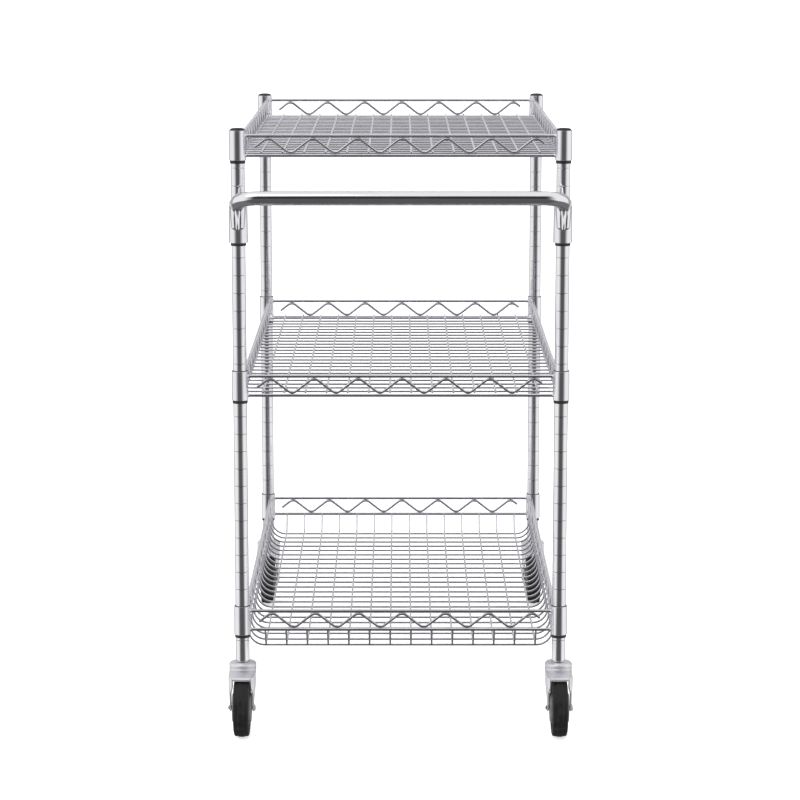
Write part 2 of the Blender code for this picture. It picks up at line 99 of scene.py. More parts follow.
# --- Tiers ---
COLLAR_BELOW = 0.0062
COLLAR_TAPER = 0.0003
COLLAR_WALL = 0.0009
COLLAR_ROUND = 0.0006
RAIL_RADIUS = 0.00225
RAIL_SPACING = 0.0261
RAIL_END = 0.01075
SIDE_RAIL_INSET = 0.004
FLARE_LENGTH = 0.0024
FLARE = ((0.0, 1.4), (0.2, 1.32), (0.5, 1.1), (1.0, 1.0))
WAVE_RADIUS = 0.0019
WAVE_PERIOD = 0.0594
WAVE_CLEAR = 0.00415
WAVE_BEND = 0.010
WAVE_STEPS = 4
END_WAVE_START, END_WAVE_STOP, END_WAVE_PEAK = -0.1944, 0.1914, 0.002
END_WAVE_COUNT = 7
SIDE_WAVE_REACH = 0.3417
SIDE_WAVE_COUNT = 12

# --- Deck and basket wires ---
CROSS_RADIUS = 0.0015
CROSS_COUNT = 24
CROSS_PITCH = 0.030
LONG_RADIUS = 0.0014
LONG_COUNT = 14
LONG_PITCH = 0.0286
LONG_LIFT = 0.0024
WELD_DEPTH = 0.0003
LONG_END_GAP = 0.0022
BASKET_DROP = 0.0281
BASKET_BEND = 0.0213
LIP_RISE = 0.0005
BASKET_STEPS = 10
FOOT_BEND = 0.006

# --- Sleeves ---
SLEEVE_BORE = 0.0098
SLEEVE_RING = 0.0104
RING_HEIGHT = 0.0038
SLEEVE_INSET = 0.0001
SLEEVE_EDGE = 0.0002
SLEEVE_TOP_ROUND = 0.0004
RING_ROUND = 0.0008
GAP = 0.0003
SEAM_ANGLE = math.radians(3)

# --- Push handle ---
HANDLE_RADIUS = 0.0095
HANDLE_REACH = 0.055
HANDLE_BEND = 0.030
HANDLE_TILT = math.radians(18)
ELBOW_BEND = 0.007
PINCH_DEPTH = 0.008
PINCH_CLEAR = 0.0008
PINCH_START = 0.30
PINCH_EASE = 0.8
LOBE_EASE = 0.8
ELBOW_DEPTH = 0.0100
FOOT_DEPTH = 0.0060
CREASE_SHARE = 0.5
CREASE_WIDTH = 0.0028
ELBOW_WIDTH = 1.24
FOOT_WIDTH = 0.93
FOOT_ROUND = 0.0045
HANDLE_SIDES = 48
BEND_STEPS = 14
ELBOW_STEPS = 10
FOOT_STEPS = 6

# --- Casters ---
WHEEL_SIDES = 96
CASTER_TRAIL = 0.0296
STEM_RADIUS = 0.0052
STEM_BORE = 0.0056
STEM_TIP = (0.001, 0.002)
RIVET_HEIGHT = 0.0035
RIVET_EDGE = ((0.0014, 0.0), (0.0004, 0.0005), (0.0, 0.0014))
RIVET_CHAMFER = 0.0003
SOCKET_EDGE = 0.0004
SOCKET_TOP_ROUND = 0.0006
HEAD_SIDES = 64
HEAD_SEAT = 0.0038
HEAD_MOUTH = 0.0012
HEAD_MOUTH_ROUND = 0.002
CHEEK_THICKNESS = 0.0022
CHEEK_END_RADIUS = 0.0054
CHEEK_CURL_LENGTH = 0.009
CHEEK_STEPS = 26
CHEEK_END_ANGLES = [math.radians(10 * k) for k in range(1, 9)]
LEAN_DEPTH = 0.020
LEAN_EASE = 1.5
SHEET_SLOPE = 0.11
BOLT_RADIUS = 0.0029
BOLT_SEAT = 0.0170
BOLT_SIDES = 24
NUT_RADIUS = 0.0048
NUT_CHAMFER = (0.93, 0.0002)
NUT_TOP = (0.90, 0.0003)
NUT_SHOULDER = 0.0007

# The swivel head's ring, by height over its foot, and its dome, by depth below its top: inset, height and
# rounding.
HEAD_RING = (
    (0.0002, 0.0, 0.0006),
    (0.0002, 0.0046, 0.0005),
    (0.0013, 0.0059, 0.0003),
    (0.0013, 0.0067, 0.0004),
    (0.0, 0.0074, 0.0004),
)
HEAD_DOME = ((0.0, 0.0040, 0.0012), (0.0013, 0.0014, 0.0016), (0.0050, 0.0004, 0.0040))

# The sheet over the wheel, and its lip: rear and front edge, height at the rear edge and at the lip's foot.
# The centre of its bend is LIP_SET nearer to the front edge than the bend's radius.
TONGUE_REAR, TONGUE_FRONT = -0.0120, -0.0434
TONGUE_TOP, LIP_LOW = 0.0879, 0.0804
TONGUE_THICKNESS = 0.0018
TONGUE_BEND = 0.0036
TONGUE_BEND_START = math.radians(84)
TONGUE_BEND_STEPS = 7
TONGUE_COLUMNS = 24
TONGUE_EDGE = 0.0004
LIP_LEAN = math.radians(32)
LIP_SET = 0.0001641

# Half-widths of the sheet: along it at each y, round its bend from first to last, and down the lip by share.
TONGUE_RUN = ((-0.0120, 0.0176), (-0.0250, 0.0176), (-0.0340, 0.0162))
BEND_WIDTHS = (0.0134, 0.0120)
LIP_RUN = ((0.45, 0.0117), (0.75, 0.0114), (0.92, 0.0108), (1.0, 0.0098))

# The sheet's sides: where they begin to fall away, over what width, and how far in thicknesses.
FALL_START, FALL_WIDTH, FALL_DEPTH = 0.0118, 0.0055, 1.3

# A sheet's rounded edge: shares of its thickness, and how far each point stands out.
EDGE_POINTS = ((0.2, 0.7), (0.5, 1.0), (0.8, 0.7))
EDGE_BULGE = 0.2

# Rings of a bolt's shank at each end: share of its radius, and distance from its tip.
BOLT_TIP = ((0.55, 0.0001), (0.9, 0.0006), (1.0, 0.0012))
BOLT_HEAD = ((1.0, 0.0004), (0.8, 0.0001))

# A tyre's side from its bore to its widest place: radius, distance in from its face, and rounding.
TYRE_SIDE = (
    (0.0270, 0.0016, 0.0003),
    (0.0292, 0.0008, 0.0006),
    (0.0300, 0.0012, 0.0004),
    (0.0308, 0.0003, 0.0006),
    (0.0345, 0.0, 0.003),
)
TYRE_SHOULDER = (0.0010, 0.0012, 0.0026)
BAND_HALF_WIDTH = 0.0034
BAND_STEP = (0.0008, 0.0009)
BAND_ROUND = (0.0004, 0.0006)

# A wheel core's hub and thread guard: radius, distance in from its face, and rounding. Its rim is set back.
HUB_BORE_GAP = 0.0006
GUARD_RADIUS = 0.0212
HUB_SIDE = (
    (0.0075, 0.0, 0.0003),
    (0.0082, 0.0003, 0.0003),
    (0.0192, 0.0006, 0.0008),
    (GUARD_RADIUS, 0.0019, 0.0006),
)
RIM_RADIUS = 0.0267
RIM_HALF_WIDTH = 0.0088
RIM_ROUND = 0.0004

# Each level of a cheek: height, outer half-width, how far its front edge curls in, rear edge, front edge.
CHEEK_LEVELS = [
    (0.0872, 0.0184, 0.0050, 0.0060, -0.0388),
    (0.0700, 0.0182, 0.0048, 0.0035, -0.0388),
    (0.0630, 0.0179, 0.0022, -0.0030, -0.0381),
    (0.0540, 0.0172, 0.0008, -0.0130, -0.0368),
    (0.0460, 0.0168, 0.0, -0.0222, -0.0358),
    (0.0400, 0.0168, 0.0, -0.0242, -0.0350),
]

# --- Floor, lamp and camera ---
FLOOR_SIZE = 30.0
FLOOR_GLOW = 0.60
LAMP_SIZE = 2.4
LAMP_POWER = 8.0
LAMP_PLACE = (-1.2, -1.6, 2.8)
LAMP_AIM = Vector((0, 0, 0.4))
CAMERA_LENS = 121.68
CAMERA_SHIFT = -0.00075
CAMERA_REACH = 60.0
CAMERA_PLACE = (0.0, -3.94488, 1.09702)
CAMERA_TILT = math.radians(80)

# --- Studio: how bright each part of it is; a pair is a first and a last value ---
AIR = 1.05
WALLS = 0.92
OVERHEAD = 0.88
FRONT_GAP = (0.10, 0.035)
REAR_DROP = 0.50
BEHIND_RISE = (0.50, 0.18)
GROUND = (0.095, 0.17)
SOFT_LIGHT = (1.45, 0.80)

BODY_OF = {
    node: body for body, nodes in frame["record"]["behaviour"]["bodies"].items() for node in nodes
}
CORNERS = ("front_left", "front_right", "rear_left", "rear_right")
TIERS = ("top_shelf", "middle_shelf", "basket")


def middle(node):
    low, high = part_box(node)
    return (low + high) / 2


POSTS = {corner: middle(f"post_{corner}") for corner in CORNERS}
HALF_X = (POSTS["front_right"].x - POSTS["front_left"].x) / 2
HALF_Y = (POSTS["rear_left"].y - POSTS["front_left"].y) / 2
MIDDLE_Y = (POSTS["rear_left"].y + POSTS["front_left"].y) / 2
SIDE_RAIL_X = HALF_X - SIDE_RAIL_INSET


# --- Shapes: each function makes one closed body ---


def skinned(rows, around=True, along=False):
    """Skin rows of points; around closes each row on itself, along joins the last row to the first."""
    shape = bmesh.new()
    grid = [[shape.verts.new(point) for point in row] for row in rows]
    pairs = list(zip(grid, grid[1:]))
    if along:
        pairs.append((grid[-1], grid[0]))
    count = len(grid[0])
    for first, second in pairs:
        for i in range(count if around else count - 1):
            j = (i + 1) % count
            shape.faces.new((first[i], first[j], second[j], second[i]))
    if around and not along:
        shape.faces.new(grid[0])
        shape.faces.new(grid[-1])
    bmesh.ops.remove_doubles(shape, verts=shape.verts, dist=MERGE)
    bmesh.ops.recalc_face_normals(shape, faces=shape.faces)
    return shape


def turned(profile, sides=TUBE_SIDES, start=0.0, sweep=FULL_TURN):
    """Turn (radius, height) points about Z: a profile from axis to axis makes a solid, any other a ring."""
    whole = sweep == FULL_TURN
    solid = profile[0][0] == 0
    rows = []
    for k in range(sides if whole else sides + 1):
        a = start + sweep * k / sides
        rows.append([(r * math.cos(a), r * math.sin(a), z) for r, z in profile])
    return skinned(rows, around=not solid, along=whole)


def rounded(corners, steps=4):
    """The closed outline through (a, b, radius) corners.

    Each corner is an arc, with a point on either side that holds the faces next to it flat.
    """
    points = []
    count = len(corners)
    for i, (a, b, radius) in enumerate(corners):
        here = Vector((a, b))
        if not radius:
            points.append((a, b))
            continue
        to_last = Vector(corners[i - 1][:2]) - here
        to_next = Vector(corners[(i + 1) % count][:2]) - here
        half = to_last.angle(to_next) / 2
        longest = min(to_last.length, to_next.length) * ARC_LIMIT
        reach = min(radius / math.tan(half), longest)
        hold = min(reach * HOLD_REACH, longest * HOLD_LIMIT)
        first = here + to_last.normalized() * reach
        last = here + to_next.normalized() * reach
        points.append(tuple(here + to_last.normalized() * hold))
        for k in range(steps + 1):
            t = k / steps
            points.append(tuple(first * (1 - t) ** 2 + here * 2 * t * (1 - t) + last * t**2))
        points.append(tuple(here + to_next.normalized() * hold))
    return points


def arc(centre, radius, start, stop, steps):
    """(a, b) points from angle start to stop."""
    turns = [start + (stop - start) * k / steps for k in range(steps + 1)]
    return [(centre[0] + radius * math.cos(t), centre[1] + radius * math.sin(t)) for t in turns]


def wire(path, radii, normal, sides=WIRE_SIDES):
    """A round bar along a path in the plane across normal; radii is one radius, or one for each point."""
    path = [Vector(point) for point in path]
    normal = Vector(normal)
    if isinstance(radii, float):
        radii = [radii] * len(path)
    rows = []
    for i, point in enumerate(path):
        before = path[max(i - 1, 0)]
        after = path[min(i + 1, len(path) - 1)]
        across = normal.cross((after - before).normalized())
        turns = [FULL_TURN * k / sides for k in range(sides)]
        rows.append(
            [point + (normal * math.cos(t) + across * math.sin(t)) * radii[i] for t in turns]
        )
    return skinned(rows)


def cut_wire(path, radius, normal, sides=WIRE_SIDES):
    """A round wire whose cropped ends have their edges broken."""
    path = [Vector(point) for point in path]
    broken = radius * CROP_LENGTH
    first = (path[1] - path[0]).normalized()
    last = (path[-1] - path[-2]).normalized()
    stations = [path[0], path[0] + first * broken, *path[1:-1], path[-1] - last * broken, path[-1]]
    radii = [radius * CROP_FACE, *[radius] * (len(stations) - 2), radius * CROP_FACE]
    return wire(stations, radii, normal, sides)


def flared_rail(start, stop, radius, normal):
    """A rail whose ends swell into the weld at each collar."""
    start, stop = Vector(start), Vector(stop)
    along = (stop - start).normalized()
    path = [start + along * FLARE_LENGTH * place for place, _ in FLARE]
    path += [stop - along * FLARE_LENGTH * place for place, _ in reversed(FLARE)]
    radii = [radius * size for _, size in FLARE]
    return wire(path, radii + radii[::-1], normal, RAIL_SIDES)


def moved(shape, offset):
    bmesh.ops.translate(shape, verts=shape.verts, vec=offset)
    return shape


def softened(shape, width, sharp=math.radians(50)):
    """Round off the sharp edges."""
    edges = [edge for edge in shape.edges if edge.is_manifold and edge.calc_face_angle() > sharp]
    bmesh.ops.bevel(
        shape, geom=edges, offset=width, offset_type="OFFSET", segments=2, profile=0.5,
        affect="EDGES", clamp_overlap=True,
    )
    return shape


def mesh_of(name, shapes, second=(), turn=None):
    """One smooth mesh of all the shapes; the ones in second take the mesh's second material."""
    whole = bmesh.new()
    for index, group in enumerate((shapes, second)):
        for shape in group:
            for face in shape.faces:
                face.material_index = index
            part = bpy.data.meshes.new("part")
            shape.to_mesh(part)
            shape.free()
            whole.from_mesh(part)
            bpy.data.meshes.remove(part)
    mesh = bpy.data.meshes.new(name)
    whole.to_mesh(mesh)
    whole.free()
    if turn:
        mesh.transform(turn)
    mesh.shade_smooth()
    mesh.set_sharp_from_angle(angle=SHARP)
    return mesh


def add_piece(name, mesh, node, slot, place=(0, 0, 0), second=None):
    """Put a mesh in the scene for a node of the model: it takes the node's body and the slot's material."""
    if not mesh.materials:
        mesh.materials.append(MATERIALS[slot])
        if second:
            mesh.materials.append(MATERIALS[second])
    piece = bpy.data.objects.new(name, mesh)
    bpy.context.scene.collection.objects.link(piece)
    piece.location = place
    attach(piece, BODY_OF[node])
    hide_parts(node)
    return piece


# --- Materials ---


class Finish:
    """A material's nodes, built from its Principled shader outwards."""

    def __init__(self, name, metallic):
        self.material = bpy.data.materials.new(name)
        self.material.use_nodes = True
        self.tree = self.material.node_tree
        self.shader = self.tree.nodes["Principled BSDF"]
        self.shader.inputs["Metallic"].default_value = metallic
        self.place = self.tree.nodes.new("ShaderNodeTexCoord").outputs["Object"]

    def stretched(self, scale):
        node = self.tree.nodes.new("ShaderNodeMapping")
        node.inputs["Scale"].default_value = scale
        self.tree.links.new(self.place, node.inputs["Vector"])
        return node.outputs["Vector"]

    def noise(self, scale, detail=3.0, roughness=0.55, place=None):
        node = self.tree.nodes.new("ShaderNodeTexNoise")
        node.inputs["Scale"].default_value = scale
        node.inputs["Detail"].default_value = detail
        node.inputs["Roughness"].default_value = roughness
        self.tree.links.new(place or self.place, node.inputs["Vector"])
        return node.outputs["Fac"]

    def cells(self, scale):
        node = self.tree.nodes.new("ShaderNodeTexVoronoi")
        node.inputs["Scale"].default_value = scale
        self.tree.links.new(self.place, node.inputs["Vector"])
        return node.outputs["Color"]

    def spread(self, value, low, high, first, last):
        """Map value, from low to high, to first to last."""
        node = self.tree.nodes.new("ShaderNodeMapRange")
        node.interpolation_type = "SMOOTHSTEP"
        for socket, number in (("From Min", low), ("From Max", high), ("To Min", first), ("To Max", last)):
            node.inputs[socket].default_value = number
        self.tree.links.new(value, node.inputs["Value"])
        return node.outputs["Result"]

    def blended(self, share, first, last):
        """A colour from first to last by share; either may be a colour or a socket."""
        node = self.tree.nodes.new("ShaderNodeMix")
        node.data_type = "RGBA"
        sockets = [s for s in node.inputs if s.name in ("A", "B") and s.type == "RGBA"]
        for socket, colour in zip(sockets, (first, last)):
            if isinstance(colour, tuple):
                socket.default_value = (*colour, 1.0)
            else:
                self.tree.links.new(colour, socket)
        self.tree.links.new(share, node.inputs[0])
        return [s for s in node.outputs if s.type == "RGBA"][0]

    def bump(self, height, strength, distance, below=None):
        node = self.tree.nodes.new("ShaderNodeBump")
        node.inputs["Strength"].default_value = strength
        node.inputs["Distance"].default_value = distance
        self.tree.links.new(height, node.inputs["Height"])
        if below:
            self.tree.links.new(below, node.inputs["Normal"])
        return node.outputs["Normal"]

    def edges(self):
        """Where the surface turns outwards sharply."""
        return self.tree.nodes.new("ShaderNodeNewGeometry").outputs["Pointiness"]

    def finish(self, colour, roughness, normal):
        for socket, source in (("Base Color", colour), ("Roughness", roughness), ("Normal", normal)):
            self.tree.links.new(source, self.shader.inputs[socket])
        return self.material


def chrome_tube():
    """Bright polished chrome with handling smudges and fine drawing lines along the tube."""
    f = Finish("chrome_tube", 1.0)
    smudge = f.noise(38.0, detail=4.0)
    haze = f.noise(9.0, detail=2.0)
    lines = f.noise(420.0, detail=2.0, place=f.stretched((1.0, 1.0, 0.03)))
    peel = f.noise(260.0, detail=1.0)
    colour = f.blended(f.spread(haze, 0.35, 0.65, 0.0, 1.0), (0.86, 0.857, 0.895), (0.91, 0.905, 0.935))
    roughness = f.spread(smudge, 0.40, 0.72, 0.075, 0.15)
    normal = f.bump(lines, 0.05, 0.0003, f.bump(peel, 0.05, 0.0004))
    return f.finish(colour, roughness, normal)


def chrome_wire():
    """Chrome plate on drawn wire: a little duller than the tubes, with straw-coloured traces at random."""
    f = Finish("chrome_wire", 1.0)
    tint = f.noise(24.0, detail=3.0)
    grain = f.noise(900.0, detail=2.0)
    smudge = f.noise(60.0, detail=3.0)
    colour = f.blended(f.spread(tint, 0.42, 0.70, 0.0, 1.0), (0.80, 0.793, 0.85), (0.72, 0.71, 0.75))
    roughness = f.spread(smudge, 0.35, 0.70, 0.14, 0.26)
    normal = f.bump(grain, 0.10, 0.0002)
    return f.finish(colour, roughness, normal)


def zinc_steel():
    """Bright zinc plate on pressed steel: fine spangle, rubbed brighter on its edges."""
    f = Finish("zinc_steel", 0.78)
    spangle = f.spread(f.cells(520.0), 0.2, 0.8, 0.0, 1.0)
    cloud = f.noise(55.0, detail=4.0)
    rub = f.spread(f.edges(), 0.50, 0.56, 0.0, 1.0)
    plate = f.blended(f.spread(cloud, 0.35, 0.68, 0.0, 1.0), (0.80, 0.798, 0.83), (0.70, 0.70, 0.74))
    colour = f.blended(rub, plate, (0.88, 0.88, 0.89))
    roughness = f.spread(spangle, 0.0, 1.0, 0.30, 0.40)
    normal = f.bump(spangle, 0.05, 0.0002, f.bump(f.noise(180.0), 0.12, 0.0004))
    return f.finish(colour, roughness, normal)


def dark_steel():
    """Blackened steel with oil stain and bare metal on the corners."""
    f = Finish("dark_steel", 1.0)
    stain = f.noise(300.0, detail=4.0)
    rub = f.spread(f.edges(), 0.51, 0.60, 0.0, 0.7)
    oxide = f.blended(f.spread(stain, 0.35, 0.7, 0.0, 1.0), (0.10, 0.10, 0.11), (0.17, 0.165, 0.16))
    colour = f.blended(rub, oxide, (0.42, 0.42, 0.43))
    roughness = f.spread(stain, 0.3, 0.7, 0.32, 0.5)
    return f.finish(colour, roughness, f.bump(stain, 0.15, 0.0002))


def black_plastic():
    """Satin moulded plastic with a fine grain."""
    f = Finish("black_plastic", 0.0)
    grain = f.noise(1400.0, detail=2.0)
    cloud = f.noise(70.0, detail=3.0)
    colour = f.blended(f.spread(cloud, 0.35, 0.7, 0.0, 1.0), (0.012, 0.012, 0.013), (0.020, 0.020, 0.021))
    roughness = f.spread(cloud, 0.3, 0.7, 0.36, 0.52)
    return f.finish(colour, roughness, f.bump(grain, 0.2, 0.0002))


def tyre_rubber():
    """Dull black rubber, greyer where dust sits in its pores and on the running face."""
    f = Finish("tyre_rubber", 0.0)
    f.shader.inputs["Specular IOR Level"].default_value = 0.35
    pores = f.noise(1600.0, detail=3.0)
    dust = f.noise(90.0, detail=5.0, roughness=0.65)
    share = f.spread(dust, 0.42, 0.72, 0.0, 1.0)
    colour = f.blended(share, (0.007, 0.007, 0.008), (0.018, 0.0175, 0.017))
    roughness = f.spread(dust, 0.35, 0.7, 0.48, 0.64)
    normal = f.bump(pores, 0.25, 0.0002, f.bump(f.noise(140.0), 0.1, 0.0004))
    return f.finish(colour, roughness, normal)


def wheel_plastic():
    """Grey moulded plastic with faint flow marks."""
    f = Finish("wheel_plastic", 0.0)
    flow = f.noise(120.0, detail=3.0, roughness=0.5)
    grain = f.noise(1200.0, detail=2.0)
    colour = f.blended(f.spread(flow, 0.35, 0.68, 0.0, 1.0), (0.105, 0.106, 0.110), (0.145, 0.146, 0.150))
    roughness = f.spread(flow, 0.3, 0.7, 0.40, 0.55)
    return f.finish(colour, roughness, f.bump(grain, 0.18, 0.0002))


MATERIALS = {
    make.__name__: make()
    for make in (
        chrome_tube, chrome_wire, zinc_steel, dark_steel, black_plastic, tyre_rubber, wheel_plastic,
    )
}


# --- Posts, caps and sleeves ---


def add_posts():
    low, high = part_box("post_front_left")
    radius, foot, top = (high.x - low.x) / 2, low.z, high.z
    outer = [(radius - POST_EDGE, foot), (radius, foot + POST_EDGE)]
    groove = foot + GROOVE_START + GROOVE_PITCH
    while groove < top - GROOVE_PITCH / 4:
        outer += [
            (radius, groove - 1.5 * GROOVE_HALF),
            (radius, groove - GROOVE_HALF),
            (radius - GROOVE_DEPTH, groove - GROOVE_HALF / 2),
            (radius - GROOVE_DEPTH, groove + GROOVE_HALF / 2),
            (radius, groove + GROOVE_HALF),
            (radius, groove + 1.5 * GROOVE_HALF),
        ]
        groove += GROOVE_PITCH
    outer += [(radius, top - POST_EDGE), (radius - POST_EDGE, top)]
    bore = radius - POST_WALL
    tube = mesh_of("grooved_tube", [turned(outer + [(bore, top), (bore, foot)])])
    for corner, centre in POSTS.items():
        place = (centre.x, centre.y, 0)
        add_piece(f"grooved_tube_{corner}", tube, f"post_{corner}", "chrome_tube", place)


def add_caps():
    """A domed plug with a thin rim that stands on the post's end."""
    low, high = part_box("post_cap_front_left")
    radius = (high.x - low.x) / 2
    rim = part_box("post_front_left")[1].z + GAP
    rise = high.z - rim
    stub = radius - POST_WALL - GAP
    crown = [
        (radius * math.sin(t), rim + rise * (1 - CAP_DOME_SHARE * (1 - math.cos(t)))) for t in CAP_DOME_ANGLES
    ]
    below = [
        (radius, rim + rise * CAP_RIM_SHARE),
        (radius, rim),
        (stub, rim),
        (stub - CAP_STUB_TAPER, low.z),
        (0, low.z),
    ]
    cap = mesh_of("domed_cap", [turned(crown + below)])
    for corner, centre in POSTS.items():
        add_piece(f"domed_cap_{corner}", cap, f"post_cap_{corner}", "black_plastic", (centre.x, centre.y, 0))


def sleeve_halves(low, high, wall_radius):
    """The two halves of a taper sleeve that clamps a collar on its post, with a seam on each side."""
    ring_top = low + RING_HEIGHT
    profile = rounded(
        [
            (SLEEVE_BORE, low, SLEEVE_EDGE),
            (SLEEVE_RING, low, RING_ROUND),
            (SLEEVE_RING, ring_top, 0),
            (wall_radius, ring_top, 0),
            (wall_radius, high, SLEEVE_TOP_ROUND),
            (SLEEVE_BORE, high, SLEEVE_EDGE),
        ],
        steps=3,
    )
    sweep = math.pi - 2 * SEAM_ANGLE
    starts = (SEAM_ANGLE, math.pi + SEAM_ANGLE)
    return [turned(profile, TUBE_SIDES // 2, start, sweep) for start in starts]


def add_sleeves():
    for tier in TIERS:
        low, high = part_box(f"sleeve_{tier}_front_left")
        mesh = mesh_of("split_sleeve", sleeve_halves(low.z, high.z, SLEEVE_RING - SLEEVE_INSET))
        for corner, centre in POSTS.items():
            node = f"sleeve_{tier}_{corner}"
            add_piece(f"split_{node}", mesh, node, "black_plastic", (centre.x, centre.y, 0))


# --- Tiers ---


def wave(start, stop, first_peak, count):
    """(along, height) points of the bent wire between the rails: straight flanks, and an arc at each turn."""
    quarter = WAVE_PERIOD / 4
    rise = RAIL_SPACING / 2 - WAVE_CLEAR
    lift = rise - WAVE_BEND
    flank = math.atan2(lift, quarter) + math.asin(WAVE_BEND / math.hypot(quarter, lift))
    points = []
    for k in range(2 * count - 1):
        place = first_peak + k * WAVE_PERIOD / 2
        way = 1 if k % 2 == 0 else -1
        for step in range(-WAVE_STEPS, WAVE_STEPS + 1):
            a = flank * step / WAVE_STEPS
            height = rise - WAVE_BEND * (1 - math.cos(a))
            points.append((place + WAVE_BEND * math.sin(a), RAIL_SPACING / 2 + way * height))
    slope = math.tan(flank)
    first, last = points[0], points[-1]
    begin = (start, first[1] - slope * (first[0] - start))
    end = (stop, last[1] - slope * (stop - last[0]))
    return [begin, *points, end]


def collar(low, high, radius):
    bore = radius - COLLAR_WALL
    return turned(
        rounded(
            [
                (bore, low, 0),
                (radius, low, COLLAR_ROUND),
                (radius - COLLAR_TAPER, high, COLLAR_ROUND),
                (bore, high, 0),
            ],
            steps=3,
        )
    )


def frame_mesh(collar_low, collar_high, radius):
    """Rails, waves and collars of one tier, about the posts' middle, with the lower rails at z = 0."""
    collars = [
        moved(collar(collar_low, collar_high, radius), (x, y, 0))
        for x in (-HALF_X, HALF_X)
        for y in (-HALF_Y, HALF_Y)
    ]
    first_end_peak = END_WAVE_PEAK - (END_WAVE_COUNT // 2) * WAVE_PERIOD
    end_wave = wave(END_WAVE_START, END_WAVE_STOP, first_end_peak, END_WAVE_COUNT)
    first_side_peak = -(SIDE_WAVE_COUNT - 1) * WAVE_PERIOD / 2
    side_wave = wave(-SIDE_WAVE_REACH, SIDE_WAVE_REACH, first_side_peak, SIDE_WAVE_COUNT)
    end_x, end_y = HALF_X - RAIL_END, HALF_Y - RAIL_END
    shapes = []
    for side in (-1, 1):
        y, x = side * HALF_Y, side * SIDE_RAIL_X
        for z in (0, RAIL_SPACING):
            shapes.append(flared_rail((-end_x, y, z), (end_x, y, z), RAIL_RADIUS, (0, 1, 0)))
            shapes.append(flared_rail((x, -end_y, z), (x, end_y, z), RAIL_RADIUS, (1, 0, 0)))
        shapes.append(cut_wire([(u, y, z) for u, z in end_wave], WAVE_RADIUS, (0, 1, 0)))
        shapes.append(cut_wire([(x, u, z) for u, z in side_wave], WAVE_RADIUS, (1, 0, 0)))
    return mesh_of("rails_and_waves", shapes, collars)


def spaced(count, pitch):
    return [(i - (count - 1) / 2) * pitch for i in range(count)]


def deck_mesh():
    """Cross wires welded between the side rails, with the long wires over them that lap the end rails."""
    reach = SIDE_RAIL_X - RAIL_RADIUS + WELD_DEPTH
    cross_z = LONG_LIFT + WELD_DEPTH - CROSS_RADIUS
    shapes = [
        cut_wire([(-reach, y, cross_z), (reach, y, cross_z)], CROSS_RADIUS, (0, 1, 0), CROSS_SIDES)
        for y in spaced(CROSS_COUNT, CROSS_PITCH)
    ]
    end = HALF_Y - LONG_END_GAP
    long_z = LONG_LIFT + LONG_RADIUS
    shapes += [
        cut_wire([(x, -end, long_z), (x, end, long_z)], LONG_RADIUS, (1, 0, 0), LONG_SIDES)
        for x in spaced(LONG_COUNT, LONG_PITCH)
    ]
    return mesh_of("welded_mat", shapes)


def basket_mesh():
    """A tub of wire: cross wires curve up to the side rails, and the long wires stand up to the end rails."""
    side = SIDE_RAIL_X - RAIL_RADIUS - CROSS_RADIUS + WELD_DEPTH
    turn = arc((side - BASKET_BEND, BASKET_BEND - BASKET_DROP), BASKET_BEND, -math.pi / 2, 0, BASKET_STEPS)
    half = [*turn, (side, LIP_RISE)]
    profile = [(-x, z) for x, z in reversed(half)] + half
    shapes = [
        cut_wire([(x, y, z) for x, z in profile], CROSS_RADIUS, (0, 1, 0), CROSS_SIDES)
        for y in spaced(CROSS_COUNT, CROSS_PITCH)
    ]
    end = HALF_Y - RAIL_RADIUS - LONG_RADIUS + WELD_DEPTH
    foot = spaced(CROSS_COUNT, CROSS_PITCH)[-1] + 2 * CROSS_RADIUS
    long_z = -BASKET_DROP + CROSS_RADIUS + LONG_RADIUS - WELD_DEPTH
    corners = [
        (0, long_z, 0),
        (foot, long_z, FOOT_BEND),
        (end, -RAIL_RADIUS, FOOT_BEND),
        (end, LIP_RISE, 0),
    ]
    rise = rounded(corners, steps=5)[1:]
    route = [(-y, z) for y, z in reversed(rise)] + rise
    shapes += [
        cut_wire([(x, y, z) for y, z in route], LONG_RADIUS, (1, 0, 0), LONG_SIDES)
        for x in spaced(LONG_COUNT, LONG_PITCH)
    ]
    return mesh_of("wire_tub", shapes)


def add_tiers():
    low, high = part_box("top_shelf_frame")
    radius = (high.x - low.x) / 2 - HALF_X
    rails = frame_mesh(-COLLAR_BELOW, high.z - low.z - COLLAR_BELOW, radius)
    mats = {"top_shelf": deck_mesh(), "basket": basket_mesh()}
    mats["middle_shelf"] = mats["top_shelf"]
    for tier in TIERS:
        place = (0, MIDDLE_Y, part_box(f"{tier}_frame")[0].z + COLLAR_BELOW)
        add_piece(f"{tier}_rails", rails, f"{tier}_frame", "chrome_wire", place, "chrome_tube")
        node = "basket_wires" if tier == "basket" else f"{tier}_deck"
        add_piece(f"{tier}_mat", mats[tier], node, "chrome_wire", place)


# --- Push handle ---


def handle_section(angle, pinch, width, depth, narrow, clear):
    """(across, under) of the tube: round at pinch 0, and at 1 pressed round a radius of clear and creased."""
    across, under = width * HANDLE_RADIUS * math.sin(angle), HANDLE_RADIUS * math.cos(angle)
    back = math.sqrt(clear**2 - across**2) - clear - PINCH_DEPTH / 2
    crease = CREASE_SHARE * depth * math.exp(-((across / CREASE_WIDTH) ** 2))
    bulge = max(math.cos(angle), 0.0) ** LOBE_EASE
    front = back + depth * bulge - (crease if bulge else 0)
    pressed = back + (front - back) * math.sqrt(narrow)
    return across * (1 - pinch + pinch * narrow), (1 - pinch) * under + pinch * pressed


